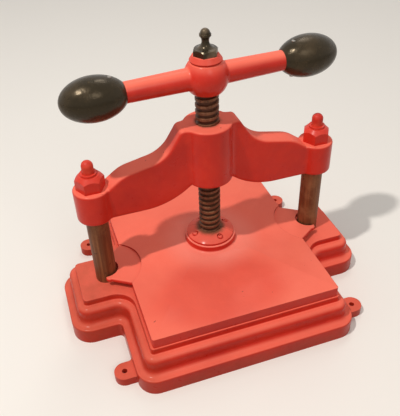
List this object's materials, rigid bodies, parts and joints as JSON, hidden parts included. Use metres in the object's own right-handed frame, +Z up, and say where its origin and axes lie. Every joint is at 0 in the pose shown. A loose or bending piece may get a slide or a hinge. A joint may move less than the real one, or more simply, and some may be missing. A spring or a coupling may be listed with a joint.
{
  "type": "screw book press",
  "caption": "Cast-iron screw press with a forked platen raised and lowered on column guides by a two-armed handle with egg knobs, for copying letters or pressing books.",
  "frame": {"origin": "on the floor below the screw's axis, which is the middle of the base's outline", "axes": "+X along the yoke from the left column to the right column as seen from the front; -Y towards the front; +Z up along the screw"},
  "size_m": [0.432, 0.339, 0.3919],
  "materials": {
    "red_enamel": "gloss red enamel over cast iron",
    "brown_steel": "brown patina, lightly oiled",
    "black_enamel": "gloss black enamel over cast iron",
    "plain_steel": "plain machined steel"
  },
  "bodies": {
    "frame": {"base_casting": "red_enamel", "column_left": "brown_steel", "column_right": "brown_steel", "base_washer_left": "plain_steel", "base_washer_right": "plain_steel", "base_nut_left": "plain_steel", "base_nut_right": "plain_steel", "yoke": "red_enamel", "column_nut_left": "red_enamel", "column_nut_right": "red_enamel"},
    "platen": {"platen": "red_enamel", "collar_half_rear": "red_enamel", "collar_half_front": "red_enamel", "collar_screws": "red_enamel", "thrust_pad": "plain_steel"},
    "screw": {"press_screw": "brown_steel", "handle": "red_enamel", "hub_cap": "red_enamel", "finial_nut": "black_enamel", "knob_left": "black_enamel", "knob_right": "black_enamel", "knob_pin_left": "plain_steel", "knob_pin_right": "plain_steel"}
  },
  "joints": [
    {"name": "platen_lift", "type": "slide", "parent": "frame", "child": "platen", "axis": [0, 0, 1], "range_m": [0, 0.08]},
    {"name": "screw_turn", "type": "hinge", "parent": "platen", "child": "screw", "pos_m": [0, 0, 0.2], "axis": [0, 0, 1], "range_deg": [0, 3400]}
  ],
  "couplings": [
    {"joint": "platen_lift", "follows": "screw_turn", "m_per_rad": 0.0013475}
  ]
}
